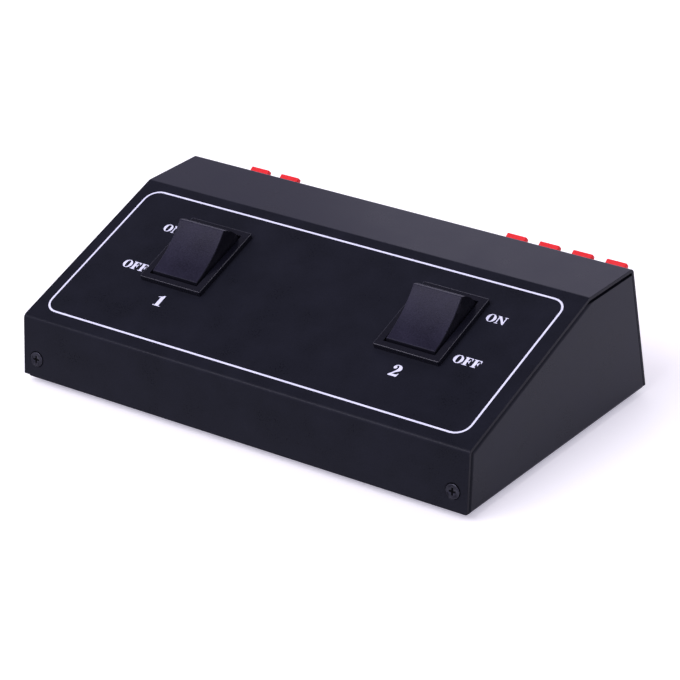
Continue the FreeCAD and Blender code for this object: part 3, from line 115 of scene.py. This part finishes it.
def grained(name, dark, light, grain, depth, rough, patch=12.0, gloss=0.5, **constants):
    """A finish with a fine grain, a slow drift of tone, and a roughness that follows both.

    The grain, the patches of tone and the depth of the relief are in millimetres.
    """
    material, tree, place = blank(name)
    fine = add(tree, "TexNoise", {"Vector": place, "Scale": pitch(grain), "Detail": 3.0})
    slow = add(tree, "TexNoise", {"Vector": place, "Scale": pitch(patch), "Detail": 2.0})
    both = add(tree, "Math", {0: fine.outputs["Fac"], 1: slow.outputs["Fac"]})
    share = add(
        tree, "MapRange", {"Value": both.outputs[0], "From Min": GRAIN_LOW, "From Max": GRAIN_HIGH}
    ).outputs["Result"]
    colour = add(tree, "Mix", {0: share, 6: tint(dark), 7: tint(light)}, data_type="RGBA")
    dull = add(tree, "MapRange", {"Value": share, "To Min": rough[0], "To Max": rough[1]})
    relief = add(
        tree, "Bump", {"Height": fine.outputs["Fac"], "Distance": depth * MM, "Strength": 1.0}
    )
    shader = add(
        tree,
        "BsdfPrincipled",
        {
            "Base Color": colour.outputs[2],
            "Roughness": dull.outputs["Result"],
            "Normal": relief.outputs["Normal"],
            "Specular IOR Level": gloss,
            **constants,
        },
    )
    add(tree, "OutputMaterial", {"Surface": shader.outputs[0]})
    return material


# Polyester powder, sprayed and baked on steel: a deep soft black with a dry, fine-grained sheen.
powder_coat = grained("powder_coat", "#18191f", "#1e1f27", 0.45, 0.012, (0.27, 0.35), gloss=0.1)
# The same powder on the sheet's cut edges, made darker as painted shade, and duller.
cut_edge_painted_shade = grained("cut_edge_painted_shade", "#121218", "#17171e", 0.45, 0.012, (0.32, 0.42), gloss=0.08)
# ABS, injection moulded in a polished tool: near black, with a clear soft gloss on its edges.
bezel_abs = grained("bezel_abs", "#0c0c14", "#11111a", 0.6, 0.003, (0.18, 0.24))
# ABS, moulded in a spark-eroded tool: a charcoal grip with a matt, sandy grain.
rocker_abs = grained("rocker_abs", "#171522", "#262434", 0.5, 0.06, (0.38, 0.46), gloss=0.18)
# The rocker's sides and ends, polished in the same tool: a smooth near black.
rocker_side = grained("rocker_side", "#121218", "#17171e", 0.6, 0.003, (0.28, 0.36), gloss=0.14)
# ABS pigmented red, moulded smooth: a bright saturated red with a soft gloss.
red_abs = grained("red_abs", "#f51f24", "#ff3034", 0.8, 0.003, (0.34, 0.42), gloss=0.22)
# The same moulding in black.
black_abs = grained("black_abs", "#121216", "#1a1a1f", 0.8, 0.003, (0.28, 0.36), IOR=1.53)
# PBT with glass fibre, moulded: a dry black with a fine flecked skin.
terminal_pbt = grained("terminal_pbt", "#141418", "#1f1f24", 0.5, 0.01, (0.42, 0.52), IOR=1.57)
# Steel screws, zinc plated and blackened: a dark grey metal with lighter, worn flecks.
black_zinc = grained(
    "black_zinc", "#2b2b30", "#4c4c52", 0.7, 0.006, (0.2, 0.32), patch=2.0, Metallic=1.0
)
# Painted shade for a screw's cross: a dull near black in place of the screw's zinc.
screw_cross_painted_shade = grained("screw_cross_painted_shade", "#08080a", "#0e0e11", 0.4, 0.006, (0.6, 0.75), gloss=0.1)
# Natural rubber, moulded: a flat dusty black.
foot_rubber = grained("foot_rubber", "#161616", "#222222", 0.4, 0.02, (0.75, 0.88), IOR=1.52)
# Nylon 6, moulded and left natural: a milky ivory.
natural_nylon = grained("natural_nylon", "#d9d3c2", "#e8e3d4", 1.2, 0.002, (0.34, 0.42), IOR=1.53)
# Music wire, drawn and oiled: bright grey steel.
music_wire = grained("music_wire", "#86888c", "#a3a5a9", 0.3, 0.002, (0.24, 0.34), Metallic=1.0)
# Copper plate with a silver skin: a soft white metal with a warm cast.
silvered_copper = grained(
    "silvered_copper", "#cdb9a4", "#ddd0c2", 0.9, 0.002, (0.26, 0.38), Metallic=1.0
)
# Cartridge brass, blanked from strip: yellow, with a fine rolled grain.
rolled_brass = grained("rolled_brass", "#c9a552", "#dbbb6a", 0.7, 0.003, (0.28, 0.4), Metallic=1.0)
# Brass strip with a dip of tin: a pale grey metal that has gone a little cloudy.
tinned_brass = grained("tinned_brass", "#b4b4b0", "#cbcbc6", 1.5, 0.003, (0.3, 0.45), Metallic=1.0)
# Phosphor bronze spring strip, tinned: grey with a trace of gold.
bronze_strip = grained("bronze_strip", "#b0a68f", "#c6bda6", 1.1, 0.002, (0.26, 0.4), Metallic=1.0)
# PVC wire covering, extruded in red: a waxy red.
red_pvc = grained("red_pvc", "#a8141c", "#c01e26", 0.8, 0.004, (0.4, 0.5), IOR=1.54)
# PVC wire covering, extruded in black.
black_pvc = grained("black_pvc", "#121214", "#1b1b1e", 0.8, 0.004, (0.4, 0.5), IOR=1.54)
# White two-part ink, screen printed: a flat cool white with a slightly uneven film.
screen_ink = grained("screen_ink", "#e4e5f4", "#f2f3ff", 0.3, 0.004, (0.5, 0.6), patch=4.0)

FINISHES = {
    "black_powder_coat": powder_coat,
    "foot_rubber": foot_rubber,
    "black_screw": black_zinc,
    "switch_body": bezel_abs,
    "rocker_face": rocker_abs,
    "nylon": natural_nylon,
    "spring_wire": music_wire,
    "contact_metal": silvered_copper,
    "blade_brass": rolled_brass,
    "tinned_brass": tinned_brass,
    "terminal_body": terminal_pbt,
    "spring_strip": bronze_strip,
    "red_lever": red_abs,
    "black_lever": black_abs,
    "black_insulation": black_pvc,
    "red_insulation": red_pvc,
}

# ---------------------------------------------------------------- the CAD pieces in their finishes

SLOTS = {row["node"]: row["material_slot"] for row in frame["record"]["subparts"]}
BODIES = {
    node: body for body, nodes in frame["record"]["behaviour"]["bodies"].items() for node in nodes
}

for node, piece in frame["nodes"].items():
    piece.material_slots[0].material = FINISHES[SLOTS[node]]


SHARP = math.radians(28)  # where two faces meet in an edge rather than in a curve
FLAT = math.radians(0.5)  # where two faces are one flat face


def eased(node, edge=None):
    """A smooth copy of a CAD piece that stands for it, with its sharp edges rounded by edge mm."""
    shape = bmesh.new()
    shape.from_mesh(frame["nodes"][node].data)
    bmesh.ops.remove_doubles(shape, verts=shape.verts, dist=0.001 * MM)
    if edge:
        bmesh.ops.dissolve_limit(
            shape, angle_limit=FLAT, verts=shape.verts, edges=shape.edges,
            use_dissolve_boundaries=False, delimit={"NORMAL"},
        )
    mesh = bpy.data.meshes.new(f"{node}_eased")
    shape.to_mesh(mesh)
    shape.free()
    mesh.materials.append(FINISHES[SLOTS[node]])
    mesh.shade_smooth()
    piece = bpy.data.objects.new(f"{node}_eased", mesh)
    bpy.context.scene.collection.objects.link(piece)
    if edge:
        bevel = piece.modifiers.new("edge", "BEVEL")
        bevel.width = edge * MM
        bevel.segments = 2
        bevel.limit_method = "ANGLE"
        bevel.angle_limit = SHARP
        bevel.use_clamp_overlap = True
    else:
        mesh.set_sharp_from_angle(angle=SHARP)
    flat = piece.modifiers.new("flat_faces", "WEIGHTED_NORMAL")
    flat.mode = "FACE_AREA"
    flat.weight = 90
    flat.keep_sharp = True
    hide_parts(node)
    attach(piece, BODIES[node])
    return piece


def refinished(piece, finish, chosen):
    """Gives a piece a second finish, on the faces that a test picks."""
    piece.data.materials.append(finish)
    for face in piece.data.polygons:
        if chosen(face):
            face.material_index = 1


SHEET_EDGE = 0.15  # millimetres of rounding on bent and coated sheet
MOULDED_EDGE = 0.12  # and on moulded bodies
SIDEWAYS = 0.99  # a face whose normal lies this much along X is the sheet's cut edge

cover = eased("cover_shell", SHEET_EDGE)
# the cover's cut edges get painted shade: a darker coat than the panels
refinished(cover, cut_edge_painted_shade, lambda face: abs(face.normal.x) > SIDEWAYS)
eased("base_tray", SHEET_EDGE)
eased("switch_1_housing", MOULDED_EDGE)
eased("switch_2_housing", MOULDED_EDGE)
eased("input_terminal_plate", MOULDED_EDGE)
eased("speaker_terminal_plate", MOULDED_EDGE)

ROCKER_LEAN = PANEL_SLOPE + math.radians(20)  # a rocker's own tilt on the sloping panel
CROWN = Vector((0, -math.sin(ROCKER_LEAN), math.cos(ROCKER_LEAN)))  # where its grip faces
GRIP_REACH = math.cos(math.radians(42))  # how far the grain runs down its rounded edges

for node in ("switch_1_rocker", "switch_2_rocker"):
    refinished(eased(node), rocker_side, lambda face: face.normal.dot(CROWN) < GRIP_REACH)
for node in frame["nodes"]:
    if "_lever_" in node:
        eased(node)
eased("terminal_screws")
eased("feet")

SCREWS_FRONT, SCREWS_REAR = (corner.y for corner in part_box("cover_screws"))
CROSS_WALL = 1.2 * MM  # the walls of a screw's cross lie above this depth
CROSS_FLOOR_TOP, CROSS_FLOOR_LOW = 0.9 * MM, 1.3 * MM  # and its floor lies between these
UPRIGHT, LEVEL = 0.3, 0.9  # how much of a wall's and of a floor's normal lies along the screw


def in_cross(face):
    """Whether a face is a wall or the floor of a screw's cross."""
    depth = min(face.center.y - SCREWS_FRONT, SCREWS_REAR - face.center.y)
    along = abs(face.normal.y)
    wall = depth < CROSS_WALL and along < UPRIGHT
    return wall or (CROSS_FLOOR_TOP < depth < CROSS_FLOOR_LOW and along > LEVEL)


# the walls and floor of each screw's cross get painted shade
refinished(eased("cover_screws"), screw_cross_painted_shade, in_cross)

# ---------------------------------------------------------------- printed marks on the panel

# Each letter is its width and one or more closed outlines, in shares of its height. A point is
# across and up, and a third entry marks a smooth point; the others are corners.
LETTERS = {
    "O": (
        1.02,
        [(0.51, 1.02, 1), (0.0, 0.5, 1), (0.51, -0.02, 1), (1.02, 0.5, 1)],
        [(0.51, 0.95, 1), (0.31, 0.5, 1), (0.51, 0.05, 1), (0.71, 0.5, 1)],
    ),
    "N": (
        1.12,
        [
            (0.0, 1.0), (0.36, 1.0), (0.86, 0.36), (0.86, 0.93), (0.74, 0.93), (0.74, 1.0),
            (1.1, 1.0), (1.1, 0.93), (0.97, 0.93), (0.97, 0.0), (0.85, 0.0), (0.24, 0.78),
            (0.24, 0.07), (0.37, 0.07), (0.37, 0.0), (0.0, 0.0), (0.0, 0.07), (0.13, 0.07),
            (0.13, 0.93), (0.0, 0.93),
        ],
    ),
    "F": (
        0.9,
        [
            (0.0, 1.0), (0.84, 1.0), (0.84, 0.68), (0.78, 0.68), (0.72, 0.86, 1), (0.58, 0.93),
            (0.43, 0.93), (0.43, 0.55), (0.5, 0.55), (0.58, 0.62, 1), (0.61, 0.72), (0.67, 0.72),
            (0.67, 0.3), (0.61, 0.3), (0.58, 0.41, 1), (0.5, 0.48), (0.43, 0.48), (0.43, 0.07),
            (0.57, 0.07), (0.57, 0.0), (0.0, 0.0), (0.0, 0.07), (0.13, 0.07), (0.13, 0.93),
            (0.0, 0.93),
        ],
    ),
    "1": (
        0.7,
        [
            (0.08, 0.0), (0.08, 0.06), (0.24, 0.06), (0.24, 0.8), (0.06, 0.78), (0.06, 0.84),
            (0.3, 0.9, 1), (0.43, 1.0), (0.53, 1.0), (0.53, 0.06), (0.68, 0.06), (0.68, 0.0),
        ],
    ),
    "2": (
        0.74,
        [
            (0.03, 0.0), (0.66, 0.0), (0.72, 0.3), (0.66, 0.3), (0.6, 0.2, 1), (0.5, 0.18, 1),
            (0.26, 0.18), (0.42, 0.36, 1), (0.63, 0.52, 1), (0.71, 0.73, 1), (0.38, 1.01, 1),
            (0.06, 0.76, 1), (0.18, 0.63, 1), (0.31, 0.75, 1), (0.25, 0.88, 1), (0.32, 0.95, 1),
            (0.43, 0.73, 1), (0.33, 0.46, 1), (0.03, 0.08),
        ],
    ),
}
LETTER_GAP = 0.04  # between two letters, in shares of their height

# Each mark's text, left end, foot line and height, in millimetres across and along the panel.
MARKS = {
    "mark_1": ("1", -49.6, 19.9, 5.0),
    "mark_2": ("2", 46.2, 19.9, 5.0),
    "mark_1_on": ("ON", -69.1, 52.4, 3.4),
    "mark_1_off": ("OFF", -72.0, 32.3, 3.5),
    "mark_2_on": ("ON", 62.8, 52.4, 3.4),
    "mark_2_off": ("OFF", 62.8, 32.3, 3.5),
}

# The border line's width, and the middles of its four rounded corners, in millimetres.
BORDER_LINE = 0.7
BORDER_LEFT, BORDER_RIGHT = -80.3, 79.5
BORDER_LOW, BORDER_HIGH = 10.2, 64.0
BORDER_CORNER = 5.0  # radius of a corner, on the middle of the line

INK = 0.03  # thickness of the ink film in millimetres, drawn thick enough to lie clear of the coat


def inked(name, outlines):
    """A film of ink on the panel from closed outlines in millimetres across and along it."""
    flat = bpy.data.curves.new(name, "CURVE")
    flat.dimensions = "2D"
    flat.fill_mode = "BOTH"
    flat.resolution_u = 8
    flat.extrude = INK / 2 * MM
    for outline in outlines:
        spline = flat.splines.new("BEZIER")
        spline.bezier_points.add(len(outline) - 1)
        spline.use_cyclic_u = True
        for point, (across, along, *smooth) in zip(spline.bezier_points, outline):
            point.co = (across * MM, along * MM, 0)
            kind = "AUTO" if smooth else "VECTOR"
            point.handle_left_type = point.handle_right_type = kind
    holder = bpy.data.objects.new(name, flat)
    bpy.context.scene.collection.objects.link(holder)
    bpy.context.view_layer.update()
    final = holder.evaluated_get(bpy.context.evaluated_depsgraph_get())
    mesh = bpy.data.meshes.new_from_object(final)
    bpy.data.objects.remove(holder)
    mesh.transform(on_panel(INK / 2 * MM))
    mesh.materials.append(screen_ink)
    piece = bpy.data.objects.new(name, mesh)
    bpy.context.scene.collection.objects.link(piece)
    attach(piece, "case")


def lettered(name, text, left, foot, height):
    """A word on the panel from its left end and its foot line, in millimetres."""
    outlines = []
    for letter in text:
        advance, *shapes = LETTERS[letter]
        for shape in shapes:
            outlines.append(
                [(left + x * height, foot + y * height, *smooth) for x, y, *smooth in shape]
            )
        left += (advance + LETTER_GAP) * height
    inked(name, outlines)


def ringed(radius):
    """One side of the border line, with a point every 15 degrees round each corner."""
    ring = []
    for x, y, start in (
        (BORDER_RIGHT, BORDER_HIGH, 0), (BORDER_LEFT, BORDER_HIGH, 90),
        (BORDER_LEFT, BORDER_LOW, 180), (BORDER_RIGHT, BORDER_LOW, 270),
    ):
        for step in range(0, 91, 15):
            angle = math.radians(start + step)
            ring.append((x + radius * math.cos(angle), y + radius * math.sin(angle)))
    return ring


inked("panel_border", [ringed(BORDER_CORNER + side * BORDER_LINE / 2) for side in (1, -1)])
for name, mark in MARKS.items():
    lettered(name, *mark)

# ---------------------------------------------------------------- floor, light and camera

DAYLIGHT = "#eeeaff"  # the cool white of the studio's lamps and walls
SHEEN = "#e2dcff"  # the bluer white that gloss finds in the paper


def seen_share(tree):
    """One for the rays by which the camera, gloss and clear things see the background."""
    path = add(tree, "LightPath", {}).outputs
    gloss = add(
        tree, "Math", {0: path["Is Camera Ray"], 1: path["Is Glossy Ray"]}, operation="MAXIMUM"
    )
    return add(
        tree, "Math", {0: gloss.outputs[0], 1: path["Is Transmission Ray"]}, operation="MAXIMUM"
    ).outputs[0]


PAPER_FIBRE = 0.6  # millimetres
PAPER_GLOW = 0.3  # the light that gloss finds in the paper
PAPER_GLOW_SEEN = 0.42  # the glow that lifts it to white for the camera
SHADE_FRONT, SHADE_REAR = -0.09, -0.03  # metres along Y over which the shade in front fades out
SHADE = 0.5  # what that shade leaves of the paper's light


def paper():
    """White background paper, matt, that the camera sees as plain white all over.

    For the light that it gives back to the object, it is in half shade in front of the object, so
    that the front wall keeps a deep black.
    """
    material, tree, place = blank("white_paper")
    fibre = add(tree, "TexNoise", {"Vector": place, "Scale": pitch(PAPER_FIBRE), "Detail": 2.0})
    tone = add(
        tree, "Mix", {0: fibre.outputs["Fac"], 6: tint("#f2f2f2"), 7: tint("#f6f6f6")},
        data_type="RGBA",
    )
    direct = add(tree, "LightPath", {}).outputs["Is Camera Ray"]
    shown = add(
        tree, "Mix", {0: direct, 6: tone.outputs[2], 7: tint("#f6f6e8")}, data_type="RGBA"
    )
    along = add(tree, "SeparateXYZ", {0: place}).outputs["Y"]
    near = add(
        tree, "MapRange",
        {
            "Value": along, "From Min": SHADE_FRONT, "From Max": SHADE_REAR,
            "To Min": SHADE, "To Max": 1.0,
        },
    ).outputs["Result"]
    shade = add(tree, "Mix", {0: direct, 2: near, 3: 1.0}, data_type="FLOAT").outputs[0]
    shaded = add(
        tree, "Mix", {0: shade, 6: tint("#000000"), 7: shown.outputs[2]}, data_type="RGBA"
    )
    lit = add(tree, "BsdfDiffuse", {"Color": shaded.outputs[2]})
    seen = add(tree, "Math", {0: seen_share(tree), 1: shade}, operation="MULTIPLY").outputs[0]
    level = add(
        tree, "Mix", {0: direct, 2: PAPER_GLOW, 3: PAPER_GLOW_SEEN}, data_type="FLOAT"
    ).outputs[0]
    lift = add(tree, "Math", {0: seen, 1: level}, operation="MULTIPLY")
    glow_tone = add(
        tree, "Mix", {0: direct, 6: tint(SHEEN), 7: tint(DAYLIGHT)}, data_type="RGBA"
    )
    glow = add(tree, "Emission", {"Color": glow_tone.outputs[2], "Strength": lift.outputs[0]})
    both = add(tree, "AddShader", {0: lit.outputs[0], 1: glow.outputs[0]})
    add(tree, "OutputMaterial", {"Surface": both.outputs[0]})
    return material


ROOM_LIGHT = 0.62  # what the room gives to matt surfaces
WALLS_SEEN, CEILING_SEEN = 0.95, 0.2  # what gloss finds in its white walls and dim ceiling
WALLS_TOP, CEILING_START = 0.45, 0.62  # the sines of the angles where one fades into the other


def studio_world():
    """An even white room: the background shows at full white, and lights the object more gently."""
    world = bpy.data.worlds.new("studio")
    world.use_nodes = True
    tree = world.node_tree
    tree.nodes.clear()
    way = add(tree, "TexCoord", {}).outputs["Generated"]
    height = add(tree, "SeparateXYZ", {0: way}).outputs["Z"]
    ceiling = add(
        tree, "MapRange",
        {
            "Value": height, "From Min": WALLS_TOP, "From Max": CEILING_START,
            "To Min": WALLS_SEEN, "To Max": CEILING_SEEN,
        },
    ).outputs["Result"]
    lit = add(
        tree, "Mix", {0: seen_share(tree), 2: ROOM_LIGHT, 3: ceiling}, data_type="FLOAT"
    ).outputs[0]
    path = add(tree, "LightPath", {}).outputs
    seen, gloss = path["Is Camera Ray"], path["Is Glossy Ray"]
    level = add(tree, "Mix", {0: seen, 2: lit, 3: 1.0}, data_type="FLOAT").outputs[0]
    unseen = add(
        tree, "Mix", {0: gloss, 6: tint(DAYLIGHT), 7: tint(SHEEN)}, data_type="RGBA"
    ).outputs[2]
    colour = add(
        tree, "Mix", {0: seen, 6: unseen, 7: tint("#ffffff")}, data_type="RGBA"
    ).outputs[2]
    back = add(tree, "Background", {"Color": colour, "Strength": level})
    add(tree, "OutputWorld", {"Surface": back.outputs[0]})
    bpy.context.scene.world = world


# Each soft lamp's side in metres, its power in watts, its place and the point that it faces.
LAMPS = {
    "key": (1.3, 25.0, (-0.3, -1.32, 1.53), (0, 0, 0.02)),
    "fill": (1.2, 1.2, (1.3, 1.1, 1.0), (0, 0, 0.02)),
    "rear_strip": (0.35, 0.32, (-0.15, 0.5, 0.33), (0.09, 0.03, 0.05)),
    "edge_strip": (0.16, 0.5, (0.66, 0.33, 0.72), (0, 0, 0.03)),
    "front_strip": (0.3, 2.4, (-0.76, -0.9, 0.84), (0, 0, 0.03)),
}


def softbox(name, size, power, place, target):
    """A square soft light that faces a target."""
    lamp = bpy.data.lights.new(name, "AREA")
    lamp.size = size
    lamp.energy = power
    lamp.color = tint(DAYLIGHT)[:3]
    holder = bpy.data.objects.new(name, lamp)
    holder.location = place
    holder.visible_camera = False
    holder.rotation_euler = (Vector(target) - Vector(place)).to_track_quat("-Z", "Y").to_euler()
    bpy.context.scene.collection.objects.link(holder)


FLOOR_REACH = 3.0  # metres of paper each way from the middle


def floor():
    """A sheet of the paper, wide enough to fill every view."""
    shape = bmesh.new()
    bmesh.ops.create_grid(shape, x_segments=1, y_segments=1, size=FLOOR_REACH)
    mesh = bpy.data.meshes.new("floor")
    shape.to_mesh(mesh)
    shape.free()
    mesh.materials.append(paper())
    plate = bpy.data.objects.new("floor", mesh)
    bpy.context.scene.collection.objects.link(plate)


TURN = math.radians(36.64)  # how far the camera stands to the right of the front
RISE = math.radians(25.77)  # how far it looks down
ROLL = math.radians(-1.61)  # how far it leans over
STAND_FOOT = Vector((0, CASE_FRONT, CASE_FOOT + 1.05 * MM))  # low on the middle of the front wall
STAND = Vector((34.02, 32.57, 986.3)) * MM  # from there, across, up and back as the camera sees it
FOCAL, SENSOR = 161.735, 36.0  # the lens and the width of its picture, in millimetres


def camera():
    """A long lens to the right of the front that looks down a little and leans over."""
    across = Vector((math.cos(TURN), math.sin(TURN), 0))
    back = Vector(
        (math.sin(TURN) * math.cos(RISE), -math.cos(TURN) * math.cos(RISE), math.sin(RISE))
    )
    up = back.cross(across)
    right = math.cos(ROLL) * across + math.sin(ROLL) * up
    top = math.cos(ROLL) * up - math.sin(ROLL) * across
    axes = Matrix((right, top, back)).transposed()
    lens = bpy.data.cameras.new("camera")
    lens.sensor_width = SENSOR
    lens.lens = FOCAL
    holder = bpy.data.objects.new("camera", lens)
    holder.matrix_world = Matrix.Translation(STAND_FOOT + axes @ STAND) @ axes.to_4x4()
    bpy.context.scene.collection.objects.link(holder)
    bpy.context.scene.camera = holder


bpy.context.scene.view_settings.view_transform = "Standard"
floor()
studio_world()
for name, lamp in LAMPS.items():
    softbox(name, *lamp)
camera()
